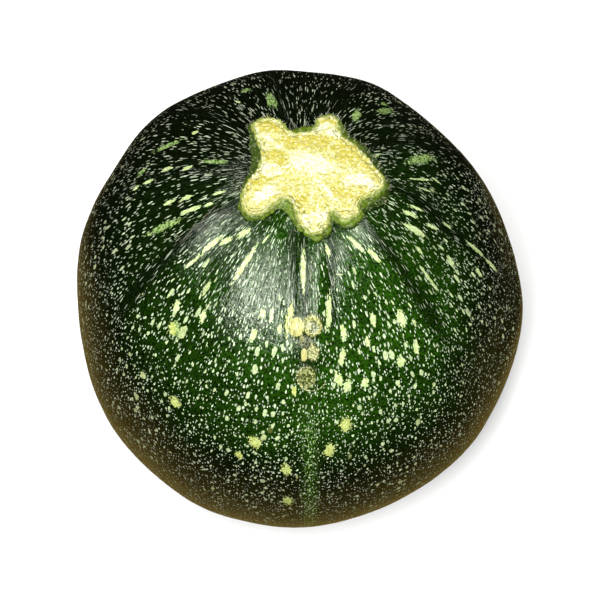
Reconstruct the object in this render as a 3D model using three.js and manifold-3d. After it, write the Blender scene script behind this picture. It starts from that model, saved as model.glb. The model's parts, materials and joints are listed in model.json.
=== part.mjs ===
// A round zucchini as picked, standing on its blossom end, with the stub of its cut stem on top.
// Millimetres, +Z up. The origin is on the surface that the fruit stands on, under its middle.
// Azimuths run from the front (-Y) towards +X. The fruit is slightly lopsided, as it grew.

import * as THREE from "three";
import { mergeVertices } from "three/addons/utils/BufferGeometryUtils.js";
import Module from "manifold-3d";

// Driving dimensions of the fruit
const HALF_WIDTH = 45;
const HALF_HEIGHT = 46;
const FOOT_RADIUS = 9; // of the flat spot at the blossom end
const BASIN_DEPTH = 2.2; // how far the top sinks under the stem
const BASIN_RADIUS = 10;
const COLLAR_RISE = 0.3; // how far the flesh swells round the foot of the stem
const COLLAR_RADIUS = 13.5;
const COLLAR_SPREAD = 6;

// How square the side view is: 2 is an ellipse, more is boxier. The shoulder is fuller behind on the left
// and falls away on the right. The belly is fullest on the left.
const SHOULDER_SQUARENESS = 2.02;
const SHOULDER_UNEVENNESS = [
  { azimuth: 225, halfAngle: 60, squarer: 0.23 },
  { azimuth: 88, halfAngle: 42, squarer: -0.47 },
];
const BELLY_SQUARENESS = 2.21;
const BELLY_UNEVENNESS = 0.26;
const FULLEST_BELLY_AT = 255;
const WAIST_BAND = 0.35; // share of the height next to the waist in which the unevenness dies away
const TOP_BAND = 0.3; // share of the height at the top in which most of it dies away
const EVENED_AT_TOP = 0.8;

// Ten veins run from stem to blossom end, each along a soft ridge: where it lies, the ridge's height
// on the shoulder, and the height of the narrow crest that carries on from a lobe of the stem.
const VEINS = [
  { azimuth: 2.5, rise: 0.7, crest: 0.6 },
  { azimuth: 47, rise: 0.6, crest: 0.5 },
  { azimuth: 83, rise: 0.55, crest: 0.8 },
  { azimuth: 119, rise: 0.85, crest: 0 },
  { azimuth: 157, rise: 0.9, crest: 0.7 },
  { azimuth: 191, rise: 0.6, crest: 0 },
  { azimuth: 228, rise: 0.8, crest: 0.7 },
  { azimuth: 264, rise: 0.8, crest: 0 },
  { azimuth: 300, rise: 0.9, crest: 0.5 },
  { azimuth: 332, rise: 0.65, crest: 0 },
];
const RIDGE_HALF_ANGLE = 11;
const RIDGE_BEGINS = 12; // distance from the stem's axis at which the ridges rise out of the top
const RIDGE_FULL = 24;
const RIDGE_LEFT_BELOW = 0.35; // share of a ridge's height that reaches the blossom end
const RIDGE_FADES = { from: 60, to: 140 }; // polar angles between which it gets lower
const CREST_HALF_ANGLE = 5;
const CREST_PEAK = 16.5; // distance from the stem's axis
const CREST_SPREAD = 7;

// Driving dimensions of the stem's stub, a star of five lobes and a small sixth one
const STUB_CENTRE = new THREE.Vector2(2, -0.2);
const STUB_REACH = 14.5; // typical radius at the lobes' tips
const CUT_HEIGHT = 91.5; // of the middle of the knife's cut, above the ground
const CUT_SLOPE = new THREE.Vector2(-0.01, 0.015); // rise of the cut along X and Y
const CUT_CROWN = 0.4; // how far the middle of the cut stands above the lobes' tips
const FLANK_FOOT = 2.4; // depth below the cut at which the flank is widest
const UNCUT_DEPTH = 8; // of the block before the fruit's surface is cut out of it
const FLARE = 0.45; // how much farther out the flank is at its foot
const WEBBING = 0.45; // how far the notches between the lobes fill in there
const LEFT_SWELLING = 1.6; // how far the flank bulges on the left of the rear left lobe
const LEFT_SWELLING_AT = 243;
const LEFT_SWELLING_HALF_ANGLE = 16;
const SEAT_GAP = 0.3; // between the stub and the fruit

// The rim of the cut, seen from above, from the front lobe round to the right
const RIM = [
  [2.7, -14.4], [5.2, -12.4], [5.5, -9.6],
  [7.9, -11.4], [10.8, -9.6], [10.9, -7.2],
  [14.0, -5.4], [15.6, -2.8], [13.4, 1.3], [9.9, 5.7], [7.9, 7.4],
  [7.4, 10.4], [5.6, 12.6], [3.1, 11.4], [2.4, 9.0], [-1.7, 8.2],
  [-3.6, 11.0], [-6.4, 11.9], [-9.2, 10.0], [-8.5, 7.0], [-7.2, 3.2], [-7.9, 0.0],
  [-10.1, -3.7], [-10.9, -7.2], [-9.6, -10.1], [-6.8, -10.2], [-3.9, -7.8], [-2.3, -6.9],
  [-1.1, -9.4], [-0.3, -12.1],
];

// Facets
const FRUIT_COLUMNS = 108;
const FRUIT_ROWS = 48;
const STUB_COLUMNS = 96;

// Colours
const SKIN_GREEN = 0x1f3d1a;
const CUT_YELLOW = 0xe6dc8c;

const radians = THREE.MathUtils.degToRad;
const smooth = THREE.MathUtils.smoothstep;

// A hill of height 1 around an azimuth, both in degrees, that has died away at twice its half angle.
function hillAt(azimuth, centre, halfAngle) {
  const apart = ((azimuth - centre + 540) % 360) - 180;
  return Math.exp(-((apart / halfAngle) ** 2));
}

// The height of the foot above the lowest point of the full, uncut belly.
const footShare = (FOOT_RADIUS / HALF_WIDTH) ** BELLY_SQUARENESS;
const footCut = HALF_HEIGHT * (1 - (1 - footShare) ** (1 / BELLY_SQUARENESS));
const middleHeight = HALF_HEIGHT - footCut;

// The squareness of the side view at an azimuth. Up is 1 at the stem, 0 at the widest place and -1 below.
function squarenessAt(azimuth, up) {
  if (up <= 0) {
    const fuller = BELLY_UNEVENNESS * Math.cos(radians(azimuth - FULLEST_BELLY_AT));
    return BELLY_SQUARENESS + fuller * smooth(-up, 0, WAIST_BAND);
  }
  let uneven = 0;
  for (const { azimuth: where, halfAngle, squarer } of SHOULDER_UNEVENNESS)
    uneven += squarer * hillAt(azimuth, where, halfAngle);
  const evened = 1 - EVENED_AT_TOP * smooth(up, 1 - TOP_BAND, 1);
  return SHOULDER_SQUARENESS + uneven * evened * smooth(up, 0, WAIST_BAND);
}

// The smooth body without ridges. Polar is 0 at the stem and 180 at the blossom end, in degrees.
function bodyPoint(azimuth, polar) {
  const up = Math.cos(radians(polar));
  const squareness = squarenessAt(azimuth, up);
  const radius = HALF_WIDTH * Math.sin(radians(polar)) ** (2 / squareness);
  let height = middleHeight + HALF_HEIGHT * Math.sign(up) * Math.abs(up) ** (2 / squareness);
  if (up > 0) {
    height -= BASIN_DEPTH * Math.exp(-((radius / BASIN_RADIUS) ** 2));
    height += COLLAR_RISE * Math.exp(-(((radius - COLLAR_RADIUS) / COLLAR_SPREAD) ** 2));
  }
  return new THREE.Vector3(radius * Math.sin(radians(azimuth)), -radius * Math.cos(radians(azimuth)), height);
}

// How far the ridges and crests stand out of the smooth body.
function ridgeRise(azimuth, polar, radius) {
  const below = smooth(polar, RIDGE_FADES.from, RIDGE_FADES.to);
  const broad = smooth(radius, RIDGE_BEGINS, RIDGE_FULL) * (1 - (1 - RIDGE_LEFT_BELOW) * below);
  const narrow = polar < 90 ? Math.exp(-(((radius - CREST_PEAK) / CREST_SPREAD) ** 2)) : 0;
  let total = 0;
  for (const { azimuth: where, rise, crest } of VEINS) {
    total += rise * broad * hillAt(azimuth, where, RIDGE_HALF_ANGLE);
    total += crest * narrow * hillAt(azimuth, where, CREST_HALF_ANGLE);
  }
  return total;
}

// A point of the skin, with the ridges raised along the body's normal and the foot cut flat at height 0.
function skinPoint(azimuth, polar, offset) {
  const step = 0.25; // degrees either way over which the normal is taken
  const inside = THREE.MathUtils.clamp(polar, 2 * step, 180 - 2 * step);
  const along = bodyPoint(azimuth, inside + step).sub(bodyPoint(azimuth, inside - step));
  const around = bodyPoint(azimuth + step, inside).sub(bodyPoint(azimuth - step, inside));
  const normal = along.cross(around).normalize();
  const point = bodyPoint(azimuth, polar);
  const rise = ridgeRise(azimuth, polar, Math.hypot(point.x, point.y));
  point.addScaledVector(normal, rise + offset);
  point.z = Math.max(point.z, -offset);
  return point;
}

// The whole skin as a closed body. A lathe sets out the facets from the blossom end to the stem,
// and each corner is then put in its place on the skin.
function skinGeometry(offset) {
  const profile = [];
  for (let row = 0; row <= FRUIT_ROWS; row++)
    profile.push(new THREE.Vector2(Math.sin((Math.PI * row) / FRUIT_ROWS), row));
  profile[FRUIT_ROWS].x = 0;
  const geometry = new THREE.LatheGeometry(profile, FRUIT_COLUMNS);
  const position = geometry.attributes.position;
  for (let i = 0; i < position.count; i++) {
    const row = i % (FRUIT_ROWS + 1);
    const column = Math.floor(i / (FRUIT_ROWS + 1)) % FRUIT_COLUMNS;
    const polar = 180 - (180 * row) / FRUIT_ROWS;
    const azimuth = row === 0 || row === FRUIT_ROWS ? 0 : (360 * column) / FRUIT_COLUMNS;
    const point = skinPoint(azimuth, polar, offset);
    position.setXYZ(i, point.x, point.y, point.z);
  }
  return geometry;
}

// The stub before its underside is fitted to the fruit. Each ring is the rim drawn at its own share of
// the size, some way below the cut: the flank flares downwards, the rim is slightly rounded, and the
// inner rings are the cut itself.
function stubGeometry() {
  const rim = RIM.map(([x, y]) => new THREE.Vector3(x, y, 0));
  const outline = new THREE.CatmullRomCurve3(rim, true).getSpacedPoints(STUB_COLUMNS);
  const rings = [
    { share: 0, below: UNCUT_DEPTH },
    { share: 1, below: UNCUT_DEPTH },
    { share: 1, below: FLANK_FOOT },
    { share: 1, below: 1.3 },
    { share: 1, below: 0.6 },
    { share: 0.975, below: 0.2 },
    { share: 0.93, below: 0 },
    { share: 0.65, below: 0 },
    { share: 0.32, below: 0 },
    { share: 0, below: 0 },
  ];
  const profile = rings.map(({ share, below }) => new THREE.Vector2(share, -below));
  const geometry = new THREE.LatheGeometry(profile, STUB_COLUMNS);
  const position = geometry.attributes.position;
  for (let i = 0; i < position.count; i++) {
    const { share, below } = rings[i % rings.length];
    const point = outline[Math.floor(i / rings.length) % STUB_COLUMNS];
    const fromCentre = new THREE.Vector2(point.x, point.y).sub(STUB_CENTRE);
    const azimuth = THREE.MathUtils.radToDeg(Math.atan2(fromCentre.x, -fromCentre.y));
    const reach = fromCentre.length();
    const swelling = LEFT_SWELLING * hillAt(azimuth, LEFT_SWELLING_AT, LEFT_SWELLING_HALF_ANGLE);
    const spread = FLARE + WEBBING * (STUB_REACH - reach) + swelling;
    fromCentre.setLength(share * (reach + spread * smooth(below, 0.2, FLANK_FOOT)));
    const cut = CUT_SLOPE.dot(fromCentre) - CUT_CROWN * (fromCentre.length() / STUB_REACH) ** 2;
    const height = CUT_HEIGHT - below + (below < UNCUT_DEPTH ? cut : 0);
    position.setXYZ(i, STUB_CENTRE.x + fromCentre.x, STUB_CENTRE.y + fromCentre.y, height);
  }
  return geometry;
}

const wasm = await Module();
wasm.setup();

function toSolid(geometry) {
  const bare = geometry.clone();
  bare.deleteAttribute("normal");
  bare.deleteAttribute("uv");
  const merged = mergeVertices(bare, 1e-4);
  const vertProperties = new Float32Array(merged.attributes.position.array);
  const triVerts = new Uint32Array(merged.index.array);
  return new wasm.Manifold(new wasm.Mesh({ numProp: 3, vertProperties, triVerts }));
}

function toGeometry(solid) {
  const mesh = solid.getMesh();
  const geometry = new THREE.BufferGeometry();
  geometry.setAttribute("position", new THREE.BufferAttribute(mesh.vertProperties, 3));
  geometry.setIndex(new THREE.BufferAttribute(mesh.triVerts, 1));
  geometry.computeVertexNormals();
  return geometry;
}

// The fruit: one solid, ribbed, with a shallow basin round the stem and a flat spot at the blossom end.
function makeFruit() {
  const material = new THREE.MeshStandardMaterial({ color: SKIN_GREEN, roughness: 0.35, metalness: 0 });
  const fruit = new THREE.Mesh(skinGeometry(0), material);
  fruit.name = "fruit";
  return fruit;
}

// The stub: what the knife left of the five-ridged stem, its underside following the top of the fruit.
function makeStub() {
  const material = new THREE.MeshStandardMaterial({ color: CUT_YELLOW, roughness: 0.7, metalness: 0 });
  const fitted = toSolid(stubGeometry()).subtract(toSolid(skinGeometry(SEAT_GAP)));
  const stub = new THREE.Mesh(toGeometry(fitted), material);
  stub.name = "stem_stub";
  return stub;
}

const zucchini = new THREE.Group();
zucchini.add(makeFruit(), makeStub());

export default zucchini;
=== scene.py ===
# A round zucchini as picked, standing on its blossom end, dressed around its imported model. Metres, +Z up.
# Azimuths run from the front (-Y) towards +X, and polar angles down from the stem, both in degrees.
import json
import math
import random

import bpy
import numpy as np
from mathutils import Matrix, Vector
from mathutils import noise as hills
from mathutils.kdtree import KDTree

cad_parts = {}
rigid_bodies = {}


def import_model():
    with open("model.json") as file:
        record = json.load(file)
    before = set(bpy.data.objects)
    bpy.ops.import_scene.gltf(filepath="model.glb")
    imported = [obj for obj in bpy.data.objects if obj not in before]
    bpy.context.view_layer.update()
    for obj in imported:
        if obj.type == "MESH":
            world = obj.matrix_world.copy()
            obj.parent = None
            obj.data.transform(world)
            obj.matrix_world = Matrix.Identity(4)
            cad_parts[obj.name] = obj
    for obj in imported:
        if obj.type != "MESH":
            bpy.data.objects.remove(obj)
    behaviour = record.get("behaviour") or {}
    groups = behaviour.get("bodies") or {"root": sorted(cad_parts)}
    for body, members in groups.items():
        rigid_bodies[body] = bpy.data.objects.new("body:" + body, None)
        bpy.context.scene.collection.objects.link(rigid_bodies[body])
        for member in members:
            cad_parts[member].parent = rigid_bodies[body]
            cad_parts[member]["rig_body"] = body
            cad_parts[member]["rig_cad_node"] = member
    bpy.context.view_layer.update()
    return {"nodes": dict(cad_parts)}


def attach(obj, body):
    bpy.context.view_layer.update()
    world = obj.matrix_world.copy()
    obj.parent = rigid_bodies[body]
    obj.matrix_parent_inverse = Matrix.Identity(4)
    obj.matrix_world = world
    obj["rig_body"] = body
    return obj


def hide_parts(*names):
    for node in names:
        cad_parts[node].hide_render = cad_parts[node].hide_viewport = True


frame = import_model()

MM = 0.001

# The fruit. It grew in one piece: a thin, tough, waxy skin, dark green with pale flecks, drawn tight over the
# flesh. Ten veins run under it from the stem to the blossom end. Flecks that were round on the young fruit
# were stretched as it grew, so they are long and thin next to the stem.
MIDDLE = Vector((0, 0, 45.4 * MM))
SKIN_RADIUS = 45 * MM
LUMPS = ((13 * MM, 0.35 * MM), (4.5 * MM, 0.07 * MM))  # their size, and the swing of the surface
VEIN_AZIMUTHS = (2.5, 47, 83, 119, 157, 191, 228, 264, 300, 332)
VEIN_SHARES = (0.8, 0.75, 0.8, 0.8, 0.9, 0.9, 0.8, 0.5, 0.75, 0.2)  # how plainly each one shows
VEIN_FOOT = 70  # the polar angle at which the dark band of a vein ends, on the sides
VEIN_FOOT_SWING = 24  # how much further down it ends at the back, and further up at the front
GRAIN_SEAM = 191  # the azimuth of the vein along which the grain's two ends meet
VEIN_HALF_ANGLE = 3.8
BLOSSOM_DIMPLE = 0.9 * MM
BLOSSOM_RADIUS = 3.5 * MM
FINER_AT_VEINS = 0.9  # how much closer the flecks are set on a vein, above 1
STRETCHES_AT_STEM = (1.75, 3.2)  # how much longer the flecks are next to the stem, in front and behind
STRETCH_TOP = 22  # the polar angle above which they are longest
STRETCH_FEET = (60, 78)  # the polar angles below which they are round, in front and behind
RIB_TOP = (12, 17)  # the polar angles between which the narrow front rib and its furrows rise
RIB_FOOT = (34, 44)  # the polar angles between which they fade out
RIB_MIDDLE = 3.3 * MM  # along X: the rib runs down from the stem's front lobe
RIB_SPREAD = 1.3 * MM
RIB_RISE = 0.28 * MM
FURROWS = ((-1.6 * MM, 1.6 * MM, 0.62 * MM), (5.6 * MM, 1.5 * MM, 0.16 * MM))  # where, how wide, how deep
# The dark bands in these furrows are painted shade.
FURROW_SHADE_MIDDLES = (-1.2 * MM, 5.6 * MM)  # the middles of their dark bands, along X
FURROW_SHADE_SPREAD = 1.2 * MM
LOWER_VEIN_HALF_ANGLE = 1.5


def pick(thing):
    """Selects one thing only, for the next operator to work on."""
    bpy.ops.object.select_all(action="DESELECT")
    thing.select_set(True)
    bpy.context.view_layer.objects.active = thing


def merged_copy(node_name, piece_name):
    """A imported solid's triangles as a new piece of its own, joined at their corners."""
    pick(frame["nodes"][node_name])
    bpy.ops.object.duplicate()
    piece = bpy.context.active_object
    piece.name = piece_name
    piece.data.name = piece_name
    piece.parent = None
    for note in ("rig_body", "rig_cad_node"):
        del piece[note]
    piece.data.materials.clear()
    bpy.ops.object.mode_set(mode="EDIT")
    bpy.ops.mesh.select_all(action="SELECT")
    bpy.ops.mesh.remove_doubles(threshold=0.001 * MM)
    bpy.ops.mesh.customdata_custom_splitnormals_clear()
    bpy.ops.object.mode_set(mode="OBJECT")
    return piece


def rows_of(parts, name):
    """One property of the parts of a mesh, three numbers in a row for each."""
    flat = np.empty(len(parts) * 3, np.float32)
    parts.foreach_get(name, flat)
    return flat.reshape(-1, 3).astype(float)


def places(piece):
    """The places of a piece's vertices, one row each."""
    return rows_of(piece.data.vertices, "co")


def put_places(piece, rows):
    """Moves the vertices of a piece to new places."""
    piece.data.vertices.foreach_set("co", np.asarray(rows, np.float32).ravel())
    piece.data.update()


def normals(piece):
    """The directions in which the surface looks at its vertices, one row each."""
    return rows_of(piece.data.vertex_normals, "vector")


def angles_of(rows):
    """The azimuth, 0 to 360, and the polar angle of places on the fruit."""
    azimuth = np.degrees(np.arctan2(rows[:, 0], -rows[:, 1])) % 360
    polar = np.degrees(np.arctan2(np.hypot(rows[:, 0], rows[:, 1]), rows[:, 2] - MIDDLE.z))
    return azimuth, polar


def apply_modifier(piece, kind, **settings):
    """Adds one modifier to a piece and applies it."""
    pick(piece)
    modifier = piece.modifiers.new(kind.lower(), kind)
    for setting, value in settings.items():
        setattr(modifier, setting, value)
    bpy.ops.object.modifier_apply(modifier=modifier.name)


def turned_from(azimuth, start):
    """How far azimuths are from another one, from -180 to 180."""
    return (azimuth - start + 180) % 360 - 180


def hill(values, middle, spread):
    """A smooth hill of height 1."""
    return np.exp(-(((values - middle) / spread) ** 2))


def on_vein(azimuth):
    """1 on a vein and 0 well away from one."""
    total = np.zeros_like(azimuth)
    for vein, share in zip(VEIN_AZIMUTHS, VEIN_SHARES):
        total += share * hill(turned_from(azimuth, vein), 0, VEIN_HALF_ANGLE)
    return np.minimum(total, 1)


def between_veins(azimuth):
    """1 halfway between two veins and 0 on them."""
    ends = np.array(sorted(VEIN_AZIMUTHS) + [min(VEIN_AZIMUTHS) + 360])
    share = np.interp((azimuth - ends[0]) % 360 + ends[0], ends, np.arange(len(ends)))
    return np.sin(math.pi * share) ** 2


def fade(values, begins, ends):
    """0 before one value and 1 after another, smoothly."""
    share = np.clip((values - begins) / (ends - begins), 0, 1)
    return share * share * (3 - 2 * share)


def running_total(steps, weights):
    """The integral of weights over evenly spaced steps, from 0."""
    middles = (weights[1:] + weights[:-1]) / 2
    return np.concatenate([[0], np.cumsum(middles * np.diff(steps))])


def store(piece, name, values):
    """Keeps one number for each vertex on the piece, for its material to read."""
    attribute = piece.data.attributes.new(name, "FLOAT", "POINT")
    attribute.data.foreach_set("value", np.asarray(values, np.float32))


skin = merged_copy("fruit", "fruit_skin")
bpy.ops.object.mode_set(mode="EDIT")
bpy.ops.mesh.tris_convert_to_quads(face_threshold=math.radians(60), shape_threshold=math.radians(60))
bpy.ops.object.mode_set(mode="OBJECT")
apply_modifier(skin, "SUBSURF", levels=2, render_levels=2)
for lump_size, lump_swing in LUMPS:
    lumps = bpy.data.textures.new("lumps", "CLOUDS")
    lumps.noise_scale = lump_size
    apply_modifier(
        skin, "DISPLACE", texture=lumps, texture_coords="LOCAL", strength=lump_swing, mid_level=0.5
    )
rows = places(skin)
azimuth, polar = angles_of(rows)
in_front = (rows[:, 1] < 0) * fade(polar, *RIB_TOP) * (1 - fade(polar, *RIB_FOOT))
crest = in_front * hill(rows[:, 0], RIB_MIDDLE, RIB_SPREAD)
dug = in_front * sum(depth * hill(rows[:, 0], middle, spread) for middle, spread, depth in FURROWS)
# Painted shade: a dark band in each furrow beside the front rib.
furrow_shade = in_front * sum(hill(rows[:, 0], side, FURROW_SHADE_SPREAD) for side in FURROW_SHADE_MIDDLES)
rows += normals(skin) * (RIB_RISE * crest - dug)[:, None]
from_axis = np.hypot(rows[:, 0], rows[:, 1])
dimple = BLOSSOM_DIMPLE * hill(from_axis, 0, BLOSSOM_RADIUS) * (rows[:, 2] < MIDDLE.z)
rows[:, 2] = np.maximum(rows[:, 2], 0) + dimple
put_places(skin, rows)
bpy.ops.object.shade_smooth()

# The grain is a map of the skin in millimetres: once round it, and down it from the stem. It is drawn closer
# on the upper veins and longer next to the stem, so that flecks drawn round on it come out as they grew.
round_steps = np.linspace(0, 360, 2881)
round_grain = running_total(round_steps, 1 + FINER_AT_VEINS * on_vein(round_steps + GRAIN_SEAM))
round_grain *= 2 * math.pi * SKIN_RADIUS / MM / round_grain[-1]
down_steps = np.linspace(0, 180, 721)
down_grains = []
for stretch, foot in zip(STRETCHES_AT_STEM, STRETCH_FEET):
    growth = np.clip((down_steps - STRETCH_TOP) / (foot - STRETCH_TOP), 0, 1)
    down_grain = running_total(down_steps, 1 / (stretch + (1 - stretch) * growth))
    down_grains.append(down_grain * math.pi / 180 * SKIN_RADIUS / MM)
rows = places(skin)
azimuth, polar = angles_of(rows)

# A vein shows as a dark band that fades out down the side, sooner at the front. The front one comes back
# below as a row of bright specks. Beside the front rib, the dark bands in its two furrows are painted shade,
# and its crest is left out of them. The skin is green on its front right and nearly black elsewhere, and the
# green part moves to the middle and narrows further down.
vein_foot = VEIN_FOOT + VEIN_FOOT_SWING * rows[:, 1] / SKIN_RADIUS
vein_bands_and_furrow_shade = np.maximum(on_vein(azimuth) * (1 - crest), 0.7 * furrow_shade)
greenest = np.interp(polar, (45, 65), (17, 4))
green_spread = np.interp(polar, (45, 62), (64, 44))
greenness = hill(turned_from(azimuth, greenest), 0, green_spread) * (1 - 0.96 * fade(polar, 47, 82))
lower_vein = hill(turned_from(azimuth, VEIN_AZIMUTHS[0]), 0, LOWER_VEIN_HALF_ANGLE) * fade(polar, 54, 66)
store(skin, "vein", vein_bands_and_furrow_shade * (1 - fade(polar, vein_foot - 14, vein_foot + 10)))
store(skin, "bed", between_veins(azimuth))
store(skin, "green", greenness)
store(skin, "lower_vein", lower_vein)

# Each corner of a face gets its place on the grain's map, which runs from 0 to 360 degrees round the fruit.
# Further down the side the map is even, so that flecks no longer crowd on the veins.
loop_corner = np.empty(len(skin.data.loops), np.int32)
skin.data.loops.foreach_get("vertex_index", loop_corner)
from_seam = ((azimuth - GRAIN_SEAM) % 360)[loop_corner].reshape(-1, 4)
across_seam = (from_seam.max(1) - from_seam.min(1) > 180)[:, None] & (from_seam < 180)
from_seam[across_seam] += 360
grain_map = skin.data.uv_layers.new(name="grain")
from_seam = from_seam.ravel() % 360.0001  # a little above 360, so that 360 itself stays
evenly = fade(polar, 42, 78)[loop_corner]
round_skin = np.interp(from_seam, round_steps, round_grain) * (1 - evenly)
round_skin += from_seam / 360 * round_grain[-1] * evenly
behind = (0.5 - 0.5 * np.cos(np.radians(azimuth)))[loop_corner]
down_front, down_back = [np.interp(polar[loop_corner], down_steps, down_grain) for down_grain in down_grains]
grain_rows = np.stack([round_skin, down_front * (1 - behind) + down_back * behind], 1)
grain_map.data.foreach_set("uv", grain_rows.astype(np.float32).ravel())


# The helpers below add their nodes to the tree in hand: that of the material begun last, or at the end the
# room's.
def new_material(name):
    """An empty material with its node tree and its main shader."""
    material = bpy.data.materials.new(name)
    material.use_nodes = True
    tree = material.node_tree
    return material, tree, tree.nodes["Principled BSDF"]


def node(kind, sockets=None, **settings):
    """Adds a node. A socket is given either another node's output or a value."""
    made = tree.nodes.new("ShaderNode" + kind)
    for setting, value in settings.items():
        setattr(made, setting, value)
    for socket, value in (sockets or {}).items():
        if isinstance(value, bpy.types.NodeSocket):
            tree.links.new(value, made.inputs[socket])
        else:
            made.inputs[socket].default_value = value
    return made


def maths(operation, *values, clamp=False):
    """The result of one sum on numbers or node outputs."""
    return node("Math", dict(enumerate(values)), operation=operation, use_clamp=clamp).outputs[0]


def times(first, second, clamp=False):
    """Two numbers or node outputs, multiplied."""
    return maths("MULTIPLY", first, second, clamp=clamp)


def times_plus(first, second, third):
    """Two numbers or node outputs multiplied, and a third one added."""
    return maths("MULTIPLY_ADD", first, second, third)


def apart(first, second):
    """How far two numbers or node outputs are from each other."""
    return maths("ABSOLUTE", maths("SUBTRACT", first, second))


def vector_maths(operation, *values):
    """The result of one sum on directions or places."""
    return node("VectorMath", dict(enumerate(values)), operation=operation).outputs[0]


def blend(share, first, second):
    """A colour between two others."""
    mixed = node("Mix", {0: share, 6: first, 7: second}, data_type="RGBA")
    return mixed.outputs[2]


def scaled(colour, factor):
    """A colour made lighter or darker."""
    return node("VectorMath", {0: colour, 3: factor}, operation="SCALE").outputs[0]


def between(value, low, high, at_low=0.0, at_high=1.0):
    """A value turned smoothly into a share, at_low at the low end and at_high at the high end."""
    sockets = {"Value": value, "From Min": low, "From Max": high, "To Min": at_low, "To Max": at_high}
    return node("MapRange", sockets, interpolation_type="SMOOTHSTEP").outputs[0]


def spot(reach, inner, outer, strength, ground, tint):
    """A ground colour with a spot of another on it, that fades out between two distances from its middle."""
    return blend(between(reach, inner, outer, strength, 0.0), ground, tint)


def stored(name):
    """One of the numbers that a piece keeps for its vertices."""
    return node("Attribute", attribute_name=name).outputs["Fac"]


def noise(place, scale, detail=3.0, roughness=0.5, output="Fac"):
    """Cloudy noise, with scale in cycles for each unit of the place that it is read at."""
    sockets = {"Vector": place, "Scale": scale, "Detail": detail, "Roughness": roughness}
    return node("TexNoise", sockets).outputs[output]


def drawn_noise(place, across, along, detail, roughness):
    """Noise on the grain, with its own cycles for each millimetre across it and along it."""
    drawn = vector_maths("MULTIPLY", place, (across, along, 1))
    return noise(drawn, 1.0, detail, roughness)


def stirred(place, body_place, wave, swing, detail=2.0):
    """A place pushed about to the sides, so that what is round on it comes out ragged."""
    push = noise(body_place, wave, detail, output="Color")
    push = vector_maths("SUBTRACT", push, (0.5, 0.5, 0.5))
    return vector_maths("MULTIPLY_ADD", push, (swing, swing, 0), place)


def flecks(grain, tears, cell, share, smallest, largest, longer, torn, faintest, halo, shift, size):
    """One size of flecks, and the clear skin round them. Each cell of the grain holds one fleck or none."""
    cells_apart = (1 / cell, 1 / (cell * longer), 1)
    place = vector_maths("MULTIPLY_ADD", grain, cells_apart, (shift, shift, 0))
    sockets = {"Vector": place, "Scale": 1.0, "Randomness": 0.9}
    cells = node("TexVoronoi", sockets, voronoi_dimensions="2D")
    chance = node("SeparateColor", {"Color": cells.outputs["Color"]})
    there = maths("LESS_THAN", chance.outputs["Red"], share)
    seldom_large = maths("POWER", chance.outputs["Green"], SMALL_ONES)
    radius = times_plus(seldom_large, (largest - smallest) / cell, smallest / cell)
    radius = times_plus(radius, size, 1)
    radius = times_plus(there, radius, -1)  # -1 where the cell holds no fleck
    inside = maths("SUBTRACT", radius, cells.outputs["Distance"])
    inside = times_plus(tears, torn / cell, inside)
    shape = between(inside, -FLECK_EDGE / cell, FLECK_EDGE / cell)
    clear = between(inside, -halo / cell - 0.001, -FLECK_EDGE / cell, 1.0, 0.0)
    strength = maths("MULTIPLY_ADD", chance.outputs["Blue"], 1.1 - faintest, faintest, clamp=True)
    return times(shape, strength), clear


def skin_spot(azimuth, polar):
    """The place on the skin at two angles, in metres, and the way that the skin looks there."""
    turn = math.radians(azimuth)
    fall = math.radians(polar)
    way = Vector((math.sin(fall) * math.sin(turn), -math.sin(fall) * math.cos(turn), math.cos(fall)))
    _, place, outward, _ = skin.ray_cast(MIDDLE, way)
    return place, outward


def mark_frame(top, foot, width):
    """Where a mark lies on the skin from its top to its foot: its middle, axes and half sizes in mm."""
    top_place, _ = skin_spot(*top)
    foot_place, _ = skin_spot(*foot)
    middle, outward = skin_spot((top[0] + foot[0]) / 2, (top[1] + foot[1]) / 2)
    reach = (foot_place - top_place).length / MM
    along = (foot_place - top_place).normalized()
    across = along.cross(outward).normalized()
    axes = Matrix((across, along, across.cross(along))).transposed()
    return middle / MM, axes, Vector((width / 2, reach / 2, max(width, reach) / 2))


def mark_place(body_place, *mark):
    """Coordinates of one mark: its outline is 1 away from its middle."""
    middle, axes, half_sizes = mark_frame(*mark)
    sockets = {"Vector": body_place, "Location": middle, "Rotation": axes.to_euler(), "Scale": half_sizes}
    return node("Mapping", sockets, vector_type="TEXTURE").outputs[0]


def mark_rows(rows, *mark):
    """The same coordinates for rows of places in metres."""
    middle, axes, half_sizes = mark_frame(*mark)
    return (rows / MM - np.array(middle)) @ np.array(axes) / np.array(half_sizes)


def piece_places():
    """The places on a piece in millimetres, and the same laid flat on the floor."""
    body_place = vector_maths("MULTIPLY", node("TexCoord").outputs["Object"], (1 / MM, 1 / MM, 1 / MM))
    return body_place, vector_maths("MULTIPLY", body_place, (1, 1, 0))


def distance(place):
    """How far a place is from the middle of its own coordinates."""
    return node("VectorMath", {0: place}, operation="LENGTH").outputs["Value"]


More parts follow.
